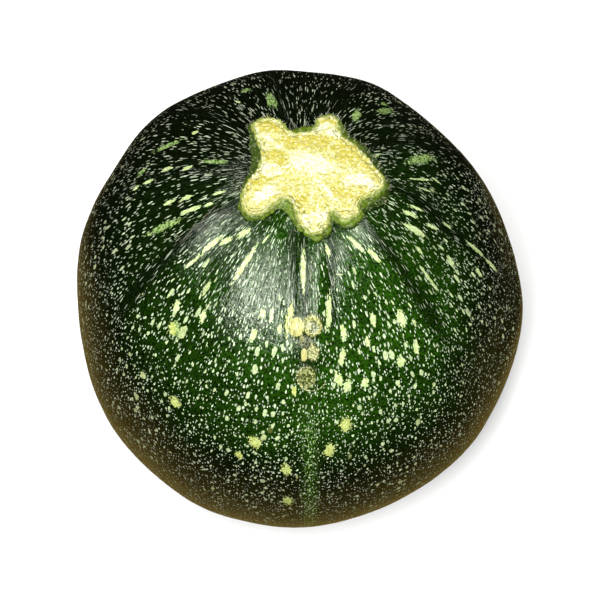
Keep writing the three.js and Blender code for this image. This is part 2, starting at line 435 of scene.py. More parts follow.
# The larger marks that this fruit has: where each begins and ends, as azimuth and polar angle, and its width
# in millimetres.
PALE_MARKS = (
    ((323.2, 18.7), (319.3, 21.8), 1.1), ((316.8, 22.5), (314.1, 25.3), 0.9),
    ((311.8, 23.7), (309.5, 29.8), 0.9), ((310.5, 30.0), (308.6, 34.8), 0.6),
    ((332.7, 21.5), (330.2, 30.7), 0.9), ((337.4, 18.1), (335.6, 20.5), 0.4),
    ((288.1, 24.1), (286.2, 28.9), 0.9), ((279.4, 25.1), (278.8, 28.2), 0.7),
    ((277.8, 29.9), (277.9, 32.6), 0.7), ((285.4, 17.7), (283.8, 20.7), 0.6),
    ((290.2, 21.3), (289.5, 23.3), 0.7), ((261.4, 25.3), (263.2, 27.6), 0.8),
    ((260.3, 30.5), (261.4, 33.1), 0.9), ((264.7, 35.2), (265.2, 37.8), 0.7),
    ((265.1, 39.3), (265.8, 41.1), 0.8), ((238.4, 28.5), (239.4, 30.0), 0.9),
    ((211.4, 27.9), (211.8, 29.5), 0.7), ((96.5, 27.3), (101.8, 35.4), 0.4),
    ((103.7, 36.1), (102.9, 40.0), 0.5), ((92.8, 29.3), (95.8, 35.4), 0.4),
    ((77.9, 26.7), (80.3, 31.3), 0.5), ((72.9, 25.7), (75.2, 29.8), 0.8),
    ((66.5, 27.2), (70.4, 33.8), 1.3), ((76.0, 33.4), (78.4, 37.5), 0.7),
    ((83.5, 39.1), (84.5, 43.1), 0.7), ((83.9, 50.0), (83.9, 57.6), 0.9),
    ((83.5, 58.5), (83.4, 64.5), 1.0), ((55.9, 35.7), (55.6, 43.7), 0.7),
    ((61.3, 32.3), (61.7, 34.9), 0.8), ((71.6, 43.2), (70.5, 46.5), 0.9),
    ((77.0, 54.4), (76.1, 57.6), 0.9), ((33.1, 19.8), (36.3, 24.7), 0.8),
    ((39.0, 24.6), (40.4, 28.5), 0.8), ((17.2, 19.7), (16.9, 22.4), 0.8),
    ((1.8, 20.5), (1.3, 29.2), 0.9), ((12.5, 30.6), (9.9, 38.3), 1.0),
    ((27.5, 37.4), (26.4, 40.5), 1.0), ((36.9, 40.1), (36.5, 44.0), 1.7),
    ((15.2, 37.9), (15.3, 41.1), 1.0), ((22.6, 42.2), (22.6, 44.6), 1.0),
    ((31.6, 50.2), (30.9, 52.4), 1.7), ((37.8, 48.7), (36.7, 51.7), 1.1),
    ((10.7, 48.3), (11.7, 51.7), 1.4), ((14.3, 50.7), (12.9, 53.4), 1.4),
    ((19.1, 51.4), (18.6, 53.6), 1.4), ((14.0, 43.2), (12.5, 47.0), 1.0),
    ((314.0, 41.2), (315.4, 43.8), 1.3), ((325.0, 39.4), (325.2, 42.3), 1.1),
    ((345.1, 34.2), (346.1, 36.1), 1.0), ((344.4, 38.8), (343.3, 41.8), 1.0),
)
YELLOW_MARKS = (
    ((356.6, 32.6), (355.4, 38.7), 1.2), ((358.3, 50.7), (358.4, 52.9), 0.8),
    ((316.6, 46.3), (318.2, 48.8), 1.8), ((325.3, 62.6), (327.2, 64.6), 2.2),
    ((348.1, 65.5), (349.3, 68.6), 2.1), ((356.6, 72.8), (356.7, 76.4), 1.8),
    ((12.0, 60.3), (11.7, 63.7), 2.0), ((7.7, 66.6), (6.8, 70.4), 1.8),
    ((357.1, 86.4), (357.1, 90.3), 1.8), ((344.2, 72.4), (345.7, 71.9), 2.0),
)
GREEN_MARKS = (
    ((289.0, 29.5), (286.0, 38.1), 1.5), ((244.3, 32.2), (249.4, 38.3), 1.2),
    ((258.9, 17.3), (258.3, 22.9), 0.9), ((257.9, 38.5), (259.8, 40.5), 1.1),
    ((202.3, 32.7), (205.6, 33.3), 1.6), ((199.3, 21.5), (194.9, 27.1), 1.0),
    ((142.0, 20.8), (146.5, 25.3), 1.4), ((144.0, 35.3), (143.3, 38.0), 1.1),
    ((139.8, 30.0), (139.6, 37.0), 1.5), ((107.2, 28.2), (113.5, 38.4), 1.7),
    ((107.0, 17.1), (109.9, 20.0), 0.4), ((318, 45.5), (318, 49), 2.0),
    ((196, 21), (197, 27), 1.3),
)

MARK_REACH = 4.0  # how far the map of a mark goes, in half widths


def lay_marks(name, marks):
    """Maps the faces round each mark, so that its outline is 1 away from its middle on the map."""
    corner_rows = places(skin)[loop_corner]
    middles = corner_rows.reshape(-1, 4, 3).mean(1)
    nearest = np.full(len(middles), MARK_REACH)
    map_rows = np.full((len(corner_rows), 2), 2 * MARK_REACH)
    for mark in marks:
        reach = np.linalg.norm(mark_rows(middles, *mark), axis=1)
        closer = reach < nearest
        nearest[closer] = reach[closer]
        corners = np.repeat(closer, 4)
        map_rows[corners] = mark_rows(corner_rows[corners], *mark)[:, :2]
    skin.data.uv_layers.new(name=name).data.foreach_set("uv", map_rows.astype(np.float32).ravel())


lay_marks("pale_marks", PALE_MARKS)
lay_marks("yellow_marks", YELLOW_MARKS)
lay_marks("green_marks", GREEN_MARKS)

DARKEST_GREEN = (0.0010, 0.0028, 0.0002, 1)
GREEN = (0.0120, 0.0470, 0.0016, 1)
GRAIN_GREY = (0.017, 0.024, 0.013, 1)
GRAIN_GREEN = (0.018, 0.062, 0.005, 1)
VEIN_GREEN = (0.022, 0.075, 0.003, 1)
VEIN_SPECK = (0.44, 0.66, 0.20, 1)
STREAK = (0.40, 0.53, 0.17, 1)
PALE_STREAK = (0.66, 0.76, 0.42, 1)
YELLOW_MARK = (0.40, 0.44, 0.10, 1)
PALE_YELLOW_MARK = (0.58, 0.68, 0.24, 1)
GREEN_STREAK = (0.055, 0.14, 0.016, 1)
PALE_GREEN_STREAK = (0.36, 0.48, 0.18, 1)
BLISTER = (0.52, 0.50, 0.19, 1)
BLISTER_DARK = (0.30, 0.29, 0.09, 1)
CORK = (0.50, 0.49, 0.17, 1)
PALE_CORK = (0.62, 0.62, 0.31, 1)
OLD_CORK = (0.46, 0.48, 0.29, 1)
OLIVE = (0.13, 0.15, 0.035, 1)
DARK_OLIVE = (0.030, 0.045, 0.006, 1)
AMBER = (0.38, 0.35, 0.13, 1)
BROWN_GREY = (0.105, 0.095, 0.070, 1)
MOTTLED_CORK = (0.36, 0.39, 0.13, 1)
FLECKS_ON_DARK = (0.88, 0.82, 0.88, 1)
FLECKS_ON_GREEN = (1, 1, 1, 1)
FLECK_EDGE = 0.03  # the width over which a fleck's colour fades, halved, in millimetres
SKIN_RELIEF = 0.16 * MM  # the depth of its lines and pores
UNDERSIDE_HEIGHT = 6.0  # millimetres above the floor: the blossom scar's rings stay below it
SMALL_ONES = 2.4  # a power, above 1 where small flecks are more frequent than large ones
# Each size of fleck: its tint, the size of its cells and the share of them that hold one, the smallest and
# the largest half width, length by width, how torn its edge is, how faint the faintest is, its halo, and a
# shift of its cells. Lengths are in millimetres.
FLECK_SIZES = (
    ((0.44, 0.52, 0.23, 1), 4.60, 0.13, 0.34, 0.60, 1.2, 1.1, 0.85, 0.30, 63.9),
    ((0.49, 0.60, 0.31, 1), 1.75, 0.56, 0.18, 0.39, 1.4, 0.55, 0.80, 0.12, 41.3),
    ((0.58, 0.70, 0.45, 1), 0.86, 0.50, 0.10, 0.23, 1.4, 0.26, 0.55, 0.04, 17.7),
    ((0.58, 0.69, 0.48, 1), 0.52, 0.40, 0.08, 0.125, 1.5, 0.0, 0.45, 0.0, 5.1),
)
VEIN_DASHES = ((0.50, 0.55, 0.42, 1), 0.95, 0.70, 0.10, 0.19, 3.2, 0.16, 0.25, 0.0, 9.9)

skin_material, tree, shader = new_material("zucchini_skin")
body_place, flat_place = piece_places()
map_place = node("UVMap", uv_map="grain").outputs["UV"]
# The vein mask: the dark vein bands, and the painted shade in the front rib's furrows.
vein = stored("vein")
bed = stored("bed")
lower_vein_share = stored("lower_vein")
grain = stirred(map_place, body_place, 0.5, 0.9)
tears = maths("SUBTRACT", noise(grain, 1.9, roughness=0.7), 0.5)
crumbs = noise(body_place, 2.6, roughness=0.6)
mottle = noise(body_place, 2.2, roughness=0.75)
clouds = noise(body_place, 0.10)
from_stem = node("SeparateXYZ", {0: map_place}).outputs["Y"]
near_stem = between(from_stem, 5, 24, 1.0, 0.0)

# The ground: green and nearly black, cloudy, and mottled finely. It is darkened on the vein mask, which
# beside the front rib is painted shade in the furrows.
clouded = between(clouds, 0.3, 0.7, 0.6, 1.35)
green = times(stored("green"), clouded, clamp=True)
green = times(green, times_plus(vein, -0.93, 1.0))
ground = blend(green, DARKEST_GREEN, GREEN)
ground = blend(times(lower_vein_share, 0.45), ground, VEIN_GREEN)
ground = scaled(ground, between(mottle, 0.32, 0.70, 0.05, 2.0))

# Fine pale lines follow the grain, as the skin's cells do. They are plainest next to the stem.
hair_lines = between(drawn_noise(map_place, 3.2, 0.28, 3, 0.65), 0.52, 0.66)
line_share = times_plus(near_stem, 0.35, 0.25)
line_colour = blend(green, GRAIN_GREY, GRAIN_GREEN)
colour = blend(times(hair_lines, line_share), ground, line_colour)

# The flecks. They are larger in patches, on the green skin and near the stem, where they are fewer too. They
# nearly vanish on the veins, and in the front rib's furrows, whose shade is painted. The two larger sizes are
# largest halfway between two veins.
patches = noise(body_place, 0.12)
size = times_plus(patches, 0.9, 0.5)
size = times_plus(green, 0.12, size)
large_size = times(size, between(from_stem, 10, 38, 1.6, 1.0))
size = times(size, between(from_stem, 10, 38, 1.2, 1.0))
on_veins = between(vein, 0.25, 0.6)
size = times(size, times_plus(on_veins, -0.9, 1.0))
bed_size = times(large_size, between(bed, 0.05, 0.9, 0.60, 1.15))
bed_size = times(bed_size, between(vein, 0.15, 0.6, 1.0, 0.0))
bed_size = times(bed_size, between(lower_vein_share, 0.1, 0.6, 1.0, 0.0))
bed_size = times(bed_size, between(from_stem, 8, 20, 0.35, 1.0))
sparse = between(from_stem, 7, 32, 0.22, 1.0)
less_sparse = between(from_stem, 5, 32, 0.65, 1.0)
fleck_light = blend(between(green, 0.02, 0.3), FLECKS_ON_DARK, FLECKS_ON_GREEN)
fleck_light = scaled(fleck_light, between(crumbs, 0.36, 0.62, 0.72, 1.2))
cover = None
free = 1.0
for tint, cell, share, *others in FLECK_SIZES:
    fleck_size = size if cell < 1 else bed_size
    share = times(less_sparse if cell < 1 else sparse, share)
    shape, clear = flecks(grain, tears, cell, share, *others, fleck_size)
    shape = times(shape, free)
    free = times(clear, free)
    colour = blend(shape, colour, vector_maths("MULTIPLY", fleck_light, tint[:3]))
    cover = shape if cover is None else maths("MAXIMUM", cover, shape)

# Short dashes on the veins, bright specks along the lower front vein, and the larger marks over them all.
tint, cell, share, *others = VEIN_DASHES
dashes, _ = flecks(grain, tears, cell, share, *others, between(vein, 0.15, 0.5))
colour = blend(dashes, colour, tint)
vein_specks = drawn_noise(map_place, 2.6, 1.2, 3, 0.7)
vein_line = times(lower_vein_share, between(vein_specks, 0.55, 0.63))
colour = blend(vein_line, colour, VEIN_SPECK)
pale = blend(between(crumbs, 0.42, 0.6), STREAK, PALE_STREAK)
yellow = blend(between(crumbs, 0.42, 0.6), YELLOW_MARK, PALE_YELLOW_MARK)
green_tint = blend(between(crumbs, 0.44, 0.56), GREEN_STREAK, PALE_GREEN_STREAK)
mark_kinds = (("green_marks", green_tint, 3.4), ("pale_marks", pale, 2.8), ("yellow_marks", yellow, 3.4))
for marks, tint, torn in mark_kinds:
    reach = distance(node("UVMap", uv_map=marks).outputs["UV"])
    reach = times_plus(tears, torn, reach)
    colour = spot(reach, 0.92, 1.06, 1.0, colour, tint)

# Corky scars on the front rib, where something rubbed the young fruit: a blister beside a ring, a worn patch
# below them, and a thin-rimmed ring with a scratch round its foot.
SCARS = {
    "blister": ((358.8, 35.0), (359.0, 39.4), 3.0),
    "ring": ((4.4, 34.7), (4.1, 39.3), 3.5),
    "ring_middle": ((3.1, 35.8), (2.9, 37.9), 1.1),
    "wedge": ((0.6, 38.8), (0.7, 40.5), 0.8),
    "haze": ((1.4, 38.6), (2.6, 42.2), 3.4),
    "patch": ((4.3, 40.9), (4.1, 44.9), 2.2),
    "dash": ((1.2, 41.8), (1.3, 44.9), 1.1),
    "thin_ring": ((1.9, 46.1), (1.7, 51.1), 3.4),
    "scratch": ((3.6, 45.8), (3.4, 51.9), 5.2),
}
grit = noise(body_place, 3.5, roughness=0.7)
ragged = maths("SUBTRACT", noise(body_place, 0.9, detail=4, roughness=0.6), 0.5)
scar_map = {scar: mark_place(body_place, *outline) for scar, outline in SCARS.items()}
scar_reach = {}
for scar, scar_place in scar_map.items():
    near_edge = times_plus(ragged, 0.9, distance(scar_place))
    scar_reach[scar] = times_plus(tears, 0.7, near_edge)
speckled = between(grit, 0.42, 0.56)
gaps_in_crust = between(crumbs, 0.44, 0.54)
streaky = drawn_noise(map_place, 1.6, 0.7, 4, 0.65)
cream = blend(between(streaky, 0.36, 0.50), BLISTER_DARK, BLISTER)
cream = blend(between(crumbs, 0.60, 0.70, 0.0, 0.6), cream, BLISTER_DARK)
crust = blend(gaps_in_crust, OLIVE, blend(between(grit, 0.46, 0.62), CORK, PALE_CORK))
around = between(scar_reach["thin_ring"], 1.0, 1.5, 0.6, 0.0)
colour = blend(times(around, gaps_in_crust), colour, DARK_OLIVE)
haze = times(between(scar_reach["haze"], 0.5, 1.1, 0.5, 0.0), speckled)
colour = blend(haze, colour, OLD_CORK)
patch = blend(between(grit, 0.44, 0.54), OLIVE, PALE_CORK)
colour = spot(scar_reach["patch"], 0.75, 1.1, 0.9, colour, patch)
mottled = blend(between(crumbs, 0.44, 0.62), DARK_OLIVE, MOTTLED_CORK)
colour = spot(scar_reach["thin_ring"], 0.92, 1.04, 0.9, colour, mottled)

# The thin ring's outer line is plainest on its left, and the inner one on its right. The scratch is a broken
# line round the ring's foot.
to_left, _, _ = node("SeparateXYZ", {0: scar_map["thin_ring"]}).outputs
outer_share = between(to_left, -0.6, 0.7, 0.2, 1.0)
inner_share = between(to_left, -0.4, 0.3, 0.5, 0.1)
worn_away = between(crumbs, 0.42, 0.52)
for middle, side_share in ((0.97, outer_share), (0.62, inner_share)):
    thin_line = times_plus(ragged, 0.35, distance(scar_map["thin_ring"]))
    thin_line = times(between(apart(thin_line, middle), 0.03, 0.09, 1.0, 0.0), worn_away)
    colour = blend(times(thin_line, side_share), colour, PALE_CORK)
_, low, _ = node("SeparateXYZ", {0: scar_map["scratch"]}).outputs
line_width = between(crumbs, 0.44, 0.64, 0.004, 0.05)
thin_line = maths("LESS_THAN", apart(distance(scar_map["scratch"]), 0.97), line_width)
thin_line = times(thin_line, between(low, 0.20, 0.40, 0.0, 0.9))
colour = blend(thin_line, colour, PALE_CORK)

# The dash, the ring and the blister lie on top, in this order, each with a gritty dark edge.
for scar, filling in (("dash", cream), ("ring", crust), ("blister", cream)):
    rim = between(scar_reach[scar], 1.05, 1.35, 0.85, 0.0)
    colour = blend(times(rim, between(grit, 0.40, 0.50)), colour, DARK_OLIVE)
    colour = spot(scar_reach[scar], 0.94, 1.06, 1.0, colour, filling)
    if scar == "ring":
        hollow = blend(between(grit, 0.50, 0.62), DARK_OLIVE, OLD_CORK)
        colour = spot(scar_reach["ring"], 0.55, 0.66, 0.9, colour, hollow)
        pale_middle = blend(speckled, OLD_CORK, PALE_CORK)
        colour = spot(scar_reach["ring_middle"], 0.8, 1.1, 0.9, colour, pale_middle)
wedge_share = between(crumbs, 0.40, 0.55, 1.0, 0.4)
wedge = times(between(scar_reach["wedge"], 0.6, 1.2, 0.8, 0.0), wedge_share)
colour = blend(wedge, colour, AMBER)

# Small things: a dry scratch on the left of the stem, a nick, and a few specks. Each lies between two places,
# and has a width, a colour and a strength.
SMALL_MARKS = (
    ((292.9, 19.9), (298.0, 25.5), 0.34, BROWN_GREY, 0.9),
    ((298.0, 25.5), (300.0, 31.8), 0.30, BROWN_GREY, 0.8),
    ((263.7, 57.6), (259.0, 63.6), 0.5, OLD_CORK, 0.7),
    ((341.6, 22.5), (341.9, 23.3), 0.3, DARK_OLIVE, 1.0),
    ((359.3, 76.2), (359.3, 77.7), 0.4, AMBER, 0.8),
    ((352.3, 61.7), (352.4, 63.6), 0.9, OLIVE, 0.6),
    ((12.3, 70.6), (12.2, 72.7), 0.8, OLIVE, 0.6),
    ((17.4, 26.6), (21.2, 27.2), 0.3, OLD_CORK, 0.8),
)
for top, foot, width, tint, strength in SMALL_MARKS:
    gap = distance(mark_place(body_place, top, foot, width))
    gap = times_plus(tears, 1.5, gap)
    colour = spot(gap, 0.8, 1.15, strength, colour, tint)

# The blossom end: a round corky scar with a ragged edge where the flower sat, in rings.
from_axis = maths("ADD", distance(flat_place), -1.2)
from_axis = times_plus(noise(body_place, 0.5), 2.4, from_axis)
height = node("SeparateXYZ", {0: body_place}).outputs["Z"]
underside = maths("LESS_THAN", height, UNDERSIDE_HEIGHT)
rings = maths("SINE", times(from_axis, 4.5))
cork = blend(between(maths("ADD", rings, grit), -0.2, 1.4), OLIVE, OLD_CORK)
blossom = times(between(from_axis, 4.6, 5.4, 1.0, 0.0), underside)
colour = blend(blossom, colour, cork)
tree.links.new(colour, shader.inputs["Base Color"])

# The skin's wax. Fine lines along the grain and pores break up its gloss, the more so on the veins, and the
# flecks are duller than the skin between them.
striae = drawn_noise(map_place, 2.2, 0.18, 2, 0.6)
pores = noise(body_place, 1.6, detail=1.5, roughness=0.6)
relief = times_plus(pores, 0.42, times_plus(striae, 0.7, -0.56))
relief = times(relief, between(vein, 0.1, 0.6, 1.0, 1.35))
bump = node("Bump", {"Height": relief, "Strength": 1.0, "Distance": SKIN_RELIEF})
tree.links.new(bump.outputs["Normal"], shader.inputs["Normal"])
roughness = between(noise(body_place, 0.35, detail=4), 0.3, 0.7, 0.0, 0.06)
roughness = maths("ADD", roughness, between(pores, 0.40, 0.62, 0.08, 0.18))
tree.links.new(times_plus(cover, 0.14, roughness), shader.inputs["Roughness"])
shader.inputs["Specular IOR Level"].default_value = 0.5
shader.inputs["Specular Tint"].default_value = (0.90, 1.0, 0.80, 1)
skin.data.materials.append(skin_material)

# The scars stand in relief, so the skin round them is divided more finely.
SCAR_POLARS = (33, 54)
SCAR_MIDDLE = 1 * MM  # along X
SCAR_REACH = 5 * MM
SCAR_CUTS = 3
SCAR_GRAIN = 0.45 * MM


def grains_at(rows, size):
    """Noise of one grain size at each place, from about -1 to 1."""
    return np.array([hills.noise(Vector(row) / size) for row in rows])


faces = skin.data.polygons
centres = rows_of(faces, "center")
_, polar = angles_of(centres)
near_scars = (polar > SCAR_POLARS[0]) & (polar < SCAR_POLARS[1]) & (centres[:, 1] < 0)
near_scars &= np.abs(centres[:, 0] - SCAR_MIDDLE) < SCAR_REACH
pick(skin)
bpy.context.tool_settings.mesh_select_mode = (False, False, True)
bpy.ops.object.mode_set(mode="EDIT")
bpy.ops.mesh.select_all(action="DESELECT")
bpy.ops.object.mode_set(mode="OBJECT")
faces.foreach_set("select", near_scars)
bpy.ops.object.mode_set(mode="EDIT")
bpy.ops.mesh.subdivide(number_cuts=SCAR_CUTS)
bpy.ops.object.mode_set(mode="OBJECT")
rows = places(skin)
near = (rows[:, 1] < -20 * MM) & (rows[:, 2] > MIDDLE.z)
close_rows = rows[near]
gaps = {scar: np.linalg.norm(mark_rows(close_rows, *outline), axis=1) for scar, outline in SCARS.items()}

# The ring's rim and both lines of the thin ring stand up, a groove runs round the ring's middle, and the
# blister, the dash and the wedge are domes. Heights are in millimetres.
lift = 0.16 * hill(gaps["ring"], 0.78, 0.20) + 0.20 * (1 - fade(gaps["blister"], 0.45, 1.10))
lift -= 0.08 * hill(gaps["ring_middle"], 1.3, 0.4) * (gaps["ring"] < 0.8)
lift += 0.08 * hill(gaps["thin_ring"], 0.97, 0.09) + 0.05 * hill(gaps["thin_ring"], 0.62, 0.09)
lift += 0.05 * hill(gaps["wedge"], 0, 0.9) + 0.10 * (1 - fade(gaps["dash"], 0.4, 1.1))
rough_scars = ("ring", "blister", "patch", "thin_ring")
worn = np.maximum.reduce([1 - fade(gaps[scar], 0.7, 1.15) for scar in rough_scars])
lift += 0.07 * worn * grains_at(close_rows, SCAR_GRAIN)
rows[near] += normals(skin)[near] * (lift * MM)[:, None]
put_places(skin, rows)
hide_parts("fruit")
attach(skin, "root")

# The stub of the stem. The knife left a low star of five lobes and a small sixth one, of pale wet pith inside
# a tough green rind. It is grown onto the fruit, and its cut face has dried a little.
STUB_VOXEL = 0.2 * MM
STUB_CENTRE = Vector((2.4, 0.4))  # of the pith, in millimetres
CUT_DEPTH = 0.30 * MM  # how far under the sheet laid on the cut its face still reaches
FLANK_DEPTH = 1.5 * MM

stub = merged_copy("stem_stub", "stem_stub_cut")
stub.data.remesh_voxel_size = STUB_VOXEL
stub.data.remesh_voxel_adaptivity = 0
bpy.ops.object.voxel_remesh()
bpy.ops.object.shade_smooth()
rows = places(stub)
facing = normals(stub)

# The cut is nearly level. A slightly curved sheet is laid on it, and every place is measured down from that
# sheet, and in from the flank, which begins at the rim of the cut.
cut_height = rows[:, 2].max()
level = (facing[:, 2] > 0.97) & (rows[:, 2] > cut_height - 1.0 * MM)
curve = np.stack([np.ones(len(rows)), rows[:, 0], rows[:, 1], rows[:, 0] ** 2, rows[:, 1] ** 2], 1)
curve[:, 1:] /= np.array([MM, MM, MM ** 2, MM ** 2])
cut_fit, *_ = np.linalg.lstsq(curve[level], rows[level, 2], rcond=None)
below_cut = curve @ cut_fit - rows[:, 2]
on_cut = (facing[:, 2] > 0.7) & (below_cut < CUT_DEPTH)
flank = np.flatnonzero(~on_cut & (facing[:, 2] > -0.2) & (below_cut < FLANK_DEPTH))
flank_tree = KDTree(len(flank))
for index in flank:
    flank_tree.insert((rows[index, 0], rows[index, 1], 0), index)
flank_tree.balance()
from_rim = np.zeros(len(rows))
for index in np.flatnonzero(on_cut):
    _, _, gap = flank_tree.find((rows[index, 0], rows[index, 1], 0))
    from_rim[index] = gap / MM

# The rim dries first and curls into a thin lip with a groove inside it. The pith within is grainy, stands up
# a little in its middle, and a shallow crease left by the knife crosses it at the front.
CREASE = ((4.6, -9.5), (10.6, -8.9), 0.5)  # both ends in plan, and the width, in millimetres
CREASE_DEPTH = 0.22
RIM_WOBBLE = 0.42
bold_grains = grains_at(rows, 1.3 * MM)
grains = grains_at(rows, 0.7 * MM)
fine_grains = grains_at(rows, 0.42 * MM)
rim_gap = from_rim + RIM_WOBBLE * grains * (from_rim > 0)
lift = 0.05 * hill(rim_gap, 0.35, 0.25) - 0.10 * hill(rim_gap, 0.95, 0.30) + 0.05 * hill(rim_gap, 1.55, 0.30)
from_centre = np.hypot(rows[:, 0] / MM - STUB_CENTRE.x, rows[:, 1] / MM - STUB_CENTRE.y)
lift += 0.20 * hill(from_centre, 0, 4.0)
crease_way = np.array(CREASE[1]) - np.array(CREASE[0])
crease_length = np.linalg.norm(crease_way)
from_crease_start = rows[:, :2] / MM - np.array(CREASE[0])
along_crease = from_crease_start @ crease_way / crease_length
across_crease = from_crease_start @ np.array((-crease_way[1], crease_way[0])) / crease_length
on_crease = hill(across_crease, 0, 0.25) * fade(along_crease, -0.5, 0.5)
on_crease *= 1 - fade(along_crease, crease_length - 0.5, crease_length + 0.5)
lift -= CREASE_DEPTH * on_crease
lift += np.where(on_cut, 0.12, 0.30) * bold_grains + 0.17 * grains
lift += np.where(on_cut, 0.17, 0.12) * fine_grains
lift += on_cut * hill(rim_gap, 0.35, 0.5) * (0.16 * grains + 0.16 * fine_grains)
rows += facing * (lift * MM)[:, None]
put_places(stub, rows)
store(stub, "from_rim", rim_gap)
store(stub, "on_cut", on_cut)
store(stub, "below_cut", below_cut / MM)

PITH = (0.54, 0.515, 0.16, 1)
WHITE_PITH = (0.78, 0.78, 0.56, 1)
OCHRE_PITH = (0.46, 0.40, 0.050, 1)
DRY_SPECK = (0.22, 0.20, 0.04, 1)
RIM_PALE = (0.55, 0.56, 0.25, 1)
RIM_OLIVE = (0.24, 0.28, 0.045, 1)
RIM_BRUISED = (0.10, 0.12, 0.025, 1)
RIND_EDGE = (0.36, 0.42, 0.13, 1)
RIND_LINE = (0.030, 0.050, 0.006, 1)
RIND_MIDDLE = (0.120, 0.195, 0.006, 1)
RIND_GREEN = (0.022, 0.045, 0.003, 1)
RIM_LINES = ((0.20, 0.17), (0.80, 0.13), (1.35, 0.10))  # how far in, and half the width, in millimetres
STUB_RELIEF = 0.22 * MM
RIND_ROUGHNESS = (0.40, 0.40, 0.40, 1)
OCHRE_ZONES = (  # long soft spots on the cut: both ends in plan, and the width, in millimetres
    ((-6.2, 2.8), (-3.2, 2.0), 2.4),
    ((-3.6, 5.8), (5.4, 5.6), 3.8),
    ((6.4, 5.6), (11.2, 0.6), 4.0),
    ((4.8, -4.4), (9.6, -6.4), 1.6),
    ((-0.8, -5.2), (0.8, -8.6), 1.6),
    ((-8.4, -3.4), (-5.4, -2.4), 1.5),
    ((-6.8, 9.6), (-3.2, 9.0), 2.4),
    ((3.2, 11.6), (6.6, 10.6), 2.2),
)
WHITE_ZONES = (
    ((-7.2, 7.2), (-3.4, 4.4), 2.0),
    ((-7.4, 0.3), (-4.6, -0.9), 2.6),
    ((3.8, 9.0), (6.0, 8.0), 2.6),
    ((3.4, -3.4), (6.6, -7.4), 1.4),
    ((8.6, -2.3), (12.4, -3.5), 2.4),
    ((1.2, -11.8), (3.6, -10.4), 2.6),
    ((-7.4, -7.0), (-5.6, -5.2), 3.0),
    ((-0.4, 1.4), (4.2, 0.2), 5.0),
)
# Dry specks: where they are in plan, and their width, in millimetres.
SPECKS = ((6.5, 2.3, 0.28), (13.1, -2.6, 0.32), (10.9, -4.4, 0.20), (-2.6, 1.6, 0.20))


def spot_reach(plan, start, end, width):
    """How far places on the cut are from the middle of one long soft spot, whose outline is 1 away."""
    way = Vector(end) - Vector(start)
    middle = (Vector(end) + Vector(start)) / 2
    half_sizes = ((way.length + width) / 2, width / 2, 1)
    turn = math.atan2(way.y, way.x)
    sockets = {"Vector": plan, "Location": (*middle, 0), "Rotation": (0, 0, turn), "Scale": half_sizes}
    return distance(node("Mapping", sockets, vector_type="TEXTURE").outputs[0])


stub_material, tree, shader = new_material("cut_stem")
body_place, flat_place = piece_places()
rim_gap = stored("from_rim")
cut_share = stored("on_cut")
below = stored("below_cut")

# The pith: ochre and white zones with ragged edges, faint strands that run out from the middle, and grit.
plan = stirred(flat_place, body_place, 0.45, 3.4, detail=4)
zones = {}
for name, outlines, softness in (("ochre", OCHRE_ZONES, 1.3), ("white", WHITE_ZONES, 1.25)):
    nearest = None
    for outline in outlines:
        reach = spot_reach(plan, *outline)
        nearest = reach if nearest is None else maths("MINIMUM", nearest, reach)
    zones[name] = between(nearest, 0.5, softness, 1.0, 0.0)
from_centre = vector_maths("SUBTRACT", plan, (STUB_CENTRE.x, STUB_CENTRE.y, 0))
out = distance(from_centre)
strand_place = vector_maths("MULTIPLY", vector_maths("NORMALIZE", from_centre), (11, 11, 0))
strand_place = vector_maths("MULTIPLY_ADD", from_centre, (0.12, 0.12, 0), strand_place)
strands = noise(strand_place, 1.0, roughness=0.6)
mottle = noise(body_place, 0.55, detail=4, roughness=0.6)
granules = noise(body_place, 1.15, detail=5, roughness=0.78)
grit = noise(body_place, 2.4, roughness=0.75)
whiteness = times_plus(zones["white"], 0.20, maths("ADD", granules, -0.02))
whiteness = times_plus(zones["ochre"], -0.20, whiteness)
radial = times(maths("ADD", strands, -0.5), between(out, 1.0, 4, 0.0, 0.75))
whiteness = maths("ADD", whiteness, radial)
colour = blend(between(whiteness, 0.32, 0.46), OCHRE_PITH, PITH)
colour = blend(between(whiteness, 0.50, 0.66), colour, WHITE_PITH)
colour = blend(between(grit, 0.50, 0.60, 0.0, 0.75), colour, OCHRE_PITH)
colour = blend(between(grit, 0.38, 0.47, 0.8, 0.0), colour, WHITE_PITH)
for x, y, width in SPECKS:
    gap = distance(vector_maths("SUBTRACT", flat_place, (x, y, 0)))
    colour = spot(gap, width * 0.6, width * 1.5, 0.7, colour, DRY_SPECK)
crease = spot_reach(flat_place, *CREASE)
colour = spot(crease, 0.35, 0.9, 0.65, colour, DRY_SPECK)

# The rim: olive and pale, wider at the back, with broken dark lines along it and a bright inner edge.
at_back = between(node("SeparateXYZ", {0: body_place}).outputs["Y"], 4, 10)
rim_width = times_plus(at_back, 0.35, times_plus(mottle, 1.2, -0.15))
in_rim = between(maths("DIVIDE", rim_gap, rim_width), 0.8, 1.15, 1.0, 0.0)
rim_colour = blend(between(granules, 0.42, 0.56), RIM_OLIVE, RIM_PALE)
rim_colour = blend(between(grit, 0.55, 0.72, 0.0, 0.6), rim_colour, RIM_BRUISED)
colour = blend(times(in_rim, 0.85), colour, rim_colour)
ragged_gap = times_plus(mottle, 0.9, maths("ADD", rim_gap, -0.85))
ragged_gap = times_plus(granules, 0.8, ragged_gap)
broken = between(noise(body_place, 0.8), 0.41, 0.53)
for middle, half_width in RIM_LINES:
    dark_line = between(apart(ragged_gap, middle), half_width * 0.4, half_width * 1.4, 0.75, 0.0)
    colour = blend(times(dark_line, broken), colour, RIM_BRUISED)
outermost = times_plus(granules, 0.9, maths("ADD", rim_gap, -0.45))
colour = spot(outermost, 0.30, 0.66, 0.9, colour, RIM_OLIVE)
pale_line = between(apart(rim_gap, rim_width), 0.05, 0.22, 0.5, 0.0)
pale_line = times(pale_line, between(mottle, 0.45, 0.6))
colour = blend(pale_line, colour, WHITE_PITH)
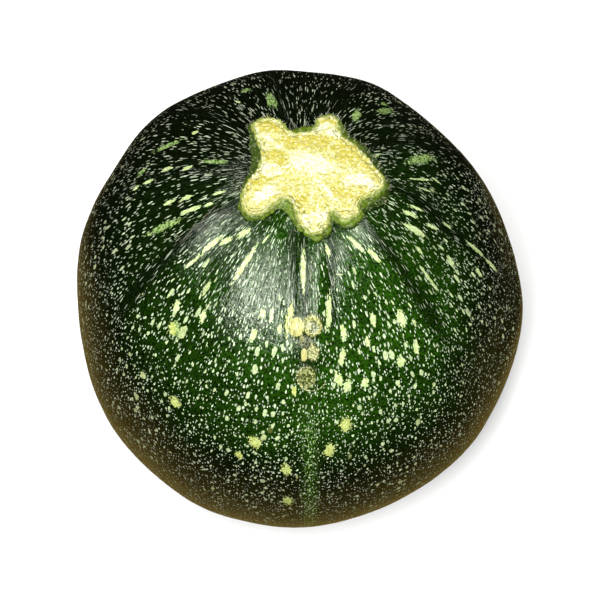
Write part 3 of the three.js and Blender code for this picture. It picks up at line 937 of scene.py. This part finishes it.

# The rind, from its pale upper edge down to the dark green next to the skin, which is also on its sides. The
# dark green at its foot is partly the rind's own colour and partly painted shade where the stub meets the
# skin.
ragged_below = times_plus(granules, 0.7, maths("ADD", below, -0.35))
edge_line = times(between(ragged_below, 0.20, 0.30), broken)
rind = blend(edge_line, RIND_EDGE, RIND_LINE)
rind = blend(between(ragged_below, 0.36, 0.55), rind, RIND_MIDDLE)
# Partly painted shade: the rind darkens towards its foot, next to the skin.
rind = blend(between(times_plus(mottle, 1.8, below), 1.5, 2.5), rind, RIND_GREEN)
place_x, place_y, _ = node("SeparateXYZ", {0: body_place}).outputs
at_sides = between(apart(place_x, STUB_CENTRE.x), 7.0, 10.0, 0.0, 0.85)
at_sides = times(at_sides, between(place_y, -4, 0, 0.35, 1.0))
rind = blend(at_sides, rind, RIND_GREEN)
rind = blend(between(grit, 0.54, 0.75, 0.0, 0.30), rind, RIND_EDGE)
colour = blend(cut_share, rind, colour)
tree.links.new(colour, shader.inputs["Base Color"])
relief = maths("ADD", times(grit, 0.5), times(granules, 0.5))
bump = node("Bump", {"Height": relief, "Strength": 1.0, "Distance": STUB_RELIEF})
tree.links.new(bump.outputs["Normal"], shader.inputs["Normal"])
moist = between(mottle, 0.3, 0.7, 0.30, 0.55)
tree.links.new(blend(cut_share, RIND_ROUGHNESS, moist), shader.inputs["Roughness"])
stub.data.materials.append(stub_material)
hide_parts("stem_stub")
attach(stub, "root")

# Hairs. The stem and the skin round it still carry the short stiff hairs of the young fruit, thin as dust.
# They have grown out of the rind and the skin, lean all ways and taper to a fine tip.
HAIRS_ON_STUB = 380
HAIRS_ON_SKIN = 120
HAIR_REACHES = (11 * MM, 17 * MM)  # from the stub's middle to the nearest and the farthest on the skin
HAIR_LENGTHS = (0.3 * MM, 0.85 * MM)
HAIR_RADIUS = 0.045 * MM
HAIR_LEAN = 0.6
HAIR_LIFT = 0.3  # how much all of them turn upwards
HAIR_ROOT = 0.1 * MM
HAIR_GREEN = (0.35, 0.38, 0.18, 1)
HAIR_PALE = (0.70, 0.70, 0.52, 1)
HAIR_TONES = 900.0  # cycles of the tint for each metre

bpy.ops.object.select_all(action="DESELECT")
bpy.ops.mesh.primitive_cone_add(
    vertices=3, radius1=HAIR_RADIUS, radius2=HAIR_RADIUS / 4, depth=1, location=(0, 0, 0.5)
)
hair = bpy.context.active_object
bpy.ops.object.transform_apply(location=True, rotation=True, scale=True)
chance = random.Random(7)
stub_rows, stub_facing = places(stub), normals(stub)
skin_rows, skin_facing = places(skin), normals(skin)
reach = np.hypot(skin_rows[:, 0] - STUB_CENTRE.x * MM, skin_rows[:, 1] - STUB_CENTRE.y * MM)
near_stub = (skin_rows[:, 2] > MIDDLE.z) & (reach > HAIR_REACHES[0]) & (reach < HAIR_REACHES[1])
grown_on = (
    (stub_rows, stub_facing, np.flatnonzero(~on_cut & (stub_facing[:, 2] > -0.1)), HAIRS_ON_STUB),
    (skin_rows, skin_facing, np.flatnonzero(near_stub), HAIRS_ON_SKIN),
)
copies = []
for ground_rows, ground_facing, allowed, count in grown_on:
    for _ in range(count):
        index = int(chance.choice(allowed))
        lean = Vector([chance.uniform(-HAIR_LEAN, HAIR_LEAN) for _ in range(3)])
        way = (Vector(ground_facing[index]) + lean + Vector((0, 0, HAIR_LIFT))).normalized()
        root = Vector(ground_rows[index]) - HAIR_ROOT * way
        length = chance.uniform(*HAIR_LENGTHS)
        copy = bpy.data.objects.new("hair", hair.data.copy())
        turned = way.to_track_quat("Z", "Y").to_matrix().to_4x4()
        copy.data.transform(Matrix.Translation(root) @ turned @ Matrix.Diagonal((1, 1, length, 1)))
        bpy.context.scene.collection.objects.link(copy)
        copies.append(copy)
bpy.data.objects.remove(hair)
bpy.ops.object.select_all(action="DESELECT")
for copy in copies:
    copy.select_set(True)
bpy.context.view_layer.objects.active = copies[0]
bpy.ops.object.join()
hairs = bpy.context.active_object
hairs.name = "fine_hairs"
hairs.data.name = "fine_hairs"
hair_material, tree, shader = new_material("plant_hair")
object_place = node("TexCoord").outputs["Object"]
hair_colour = blend(noise(object_place, HAIR_TONES, detail=2), HAIR_GREEN, HAIR_PALE)
tree.links.new(hair_colour, shader.inputs["Base Color"])
shader.inputs["Roughness"].default_value = 0.5
hairs.data.materials.append(hair_material)
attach(hairs, "root")

# The floor, the light and the camera. A plain pale floor, soft lights overhead, in front and on the right,
# and a dim room round it all.
FLOOR_SIZE = 6.0
FLOOR_COLOUR = (0.95, 0.95, 0.94, 1)
ROOM_COLOUR = (0.05, 0.05, 0.05, 1)
ROOM_IN_GLOSS = (0.010, 0.011, 0.007, 1)
TABLE_IN_GLOSS = (0.23, 0.165, 0.040, 1)
CAMERA_ELEVATION = 58.5
CAMERA_DISTANCE = 315 * MM
CAMERA_LENS = 92.0  # millimetres
SENSOR_WIDTH = 36.0  # millimetres
AIM_ABOVE_MIDDLE = 0.16 * MM

bpy.ops.object.select_all(action="DESELECT")
bpy.ops.mesh.primitive_plane_add(size=FLOOR_SIZE, location=(0, 0, 0))
floor = bpy.context.active_object
floor.name = "floor"
floor_material, tree, shader = new_material("pale_floor")
shader.inputs["Base Color"].default_value = FLOOR_COLOUR
shader.inputs["Roughness"].default_value = 0.9
shader.inputs["Specular IOR Level"].default_value = 0.1
floor.data.materials.append(floor_material)


def direction(azimuth, elevation):
    """The way from the fruit towards a lamp or the camera."""
    flat = math.cos(math.radians(elevation))
    turn = math.radians(azimuth)
    return Vector((math.sin(turn) * flat, -math.cos(turn) * flat, math.sin(math.radians(elevation))))


def aim(thing, azimuth, elevation, far, target):
    """Puts a lamp or the camera at a distance from its target, looking at it."""
    way = direction(azimuth, elevation)
    thing.location = target + way * far
    thing.rotation_mode = "QUATERNION"
    thing.rotation_quaternion = (-way).to_track_quat("-Z", "Y")


def soft_light(name, azimuth, elevation, far, width, height, power):
    """A soft oval lamp that looks at the fruit, with its sizes in metres and its power in watts."""
    lamp = bpy.data.lights.new(name, "AREA")
    lamp.shape = "ELLIPSE"
    lamp.size = width
    lamp.size_y = height
    lamp.energy = power
    holder = bpy.data.objects.new(name, lamp)
    bpy.context.scene.collection.objects.link(holder)
    aim(holder, azimuth, elevation, far, MIDDLE)
    return holder


# The small lamps are what shows in the gloss. The large one on the right is kept out of it.
soft_light("overhead_light", 4, 80, 0.9, 0.18, 0.44, 3)
soft_light("front_light", -20, 57, 1.0, 0.22, 0.66, 13.5)
soft_light("side_light", 62, 48, 1.1, 1.0, 1.0, 4.5).visible_glossy = False

# The floor is bright, but it neither shows in the gloss nor lights the fruit from below. The room is dim, and
# only its lower front, where the table's edge would be, gives the gloss at the fruit's outline a brown tinge.
BROWN_SIDE = (0, -0.6, -0.8)  # down and to the front
FAR_SIDE = (0, 0.52, -0.85)  # down and to the back
floor.visible_glossy = False
floor.visible_diffuse = False
world = bpy.data.worlds.new("room")
world.use_nodes = True
tree = world.node_tree
room_way = node("TexCoord").outputs["Generated"]
to_brown = node("VectorMath", {0: room_way, 1: BROWN_SIDE}, operation="DOT_PRODUCT").outputs["Value"]
to_far = node("VectorMath", {0: room_way, 1: FAR_SIDE}, operation="DOT_PRODUCT").outputs["Value"]
brown_share = times(between(to_brown, 0.05, 0.42), between(to_far, 0.05, 0.85))
in_gloss = node("LightPath").outputs["Is Glossy Ray"]
gloss_colour = blend(brown_share, ROOM_IN_GLOSS, TABLE_IN_GLOSS)
room_colour = blend(in_gloss, ROOM_COLOUR, gloss_colour)
tree.links.new(room_colour, tree.nodes["Background"].inputs["Color"])
bpy.context.scene.world = world
bpy.context.scene.view_settings.view_transform = "Standard"

camera_data = bpy.data.cameras.new("camera")
camera_data.lens = CAMERA_LENS
camera_data.sensor_width = SENSOR_WIDTH
camera_data.clip_start = 0.01
camera = bpy.data.objects.new("camera", camera_data)
bpy.context.scene.collection.objects.link(camera)
tilt = math.radians(CAMERA_ELEVATION)
camera_up = Vector((0, math.sin(tilt), math.cos(tilt)))
aim(camera, 0, CAMERA_ELEVATION, CAMERA_DISTANCE, MIDDLE + camera_up * AIM_ABOVE_MIDDLE)
bpy.context.scene.camera = camera
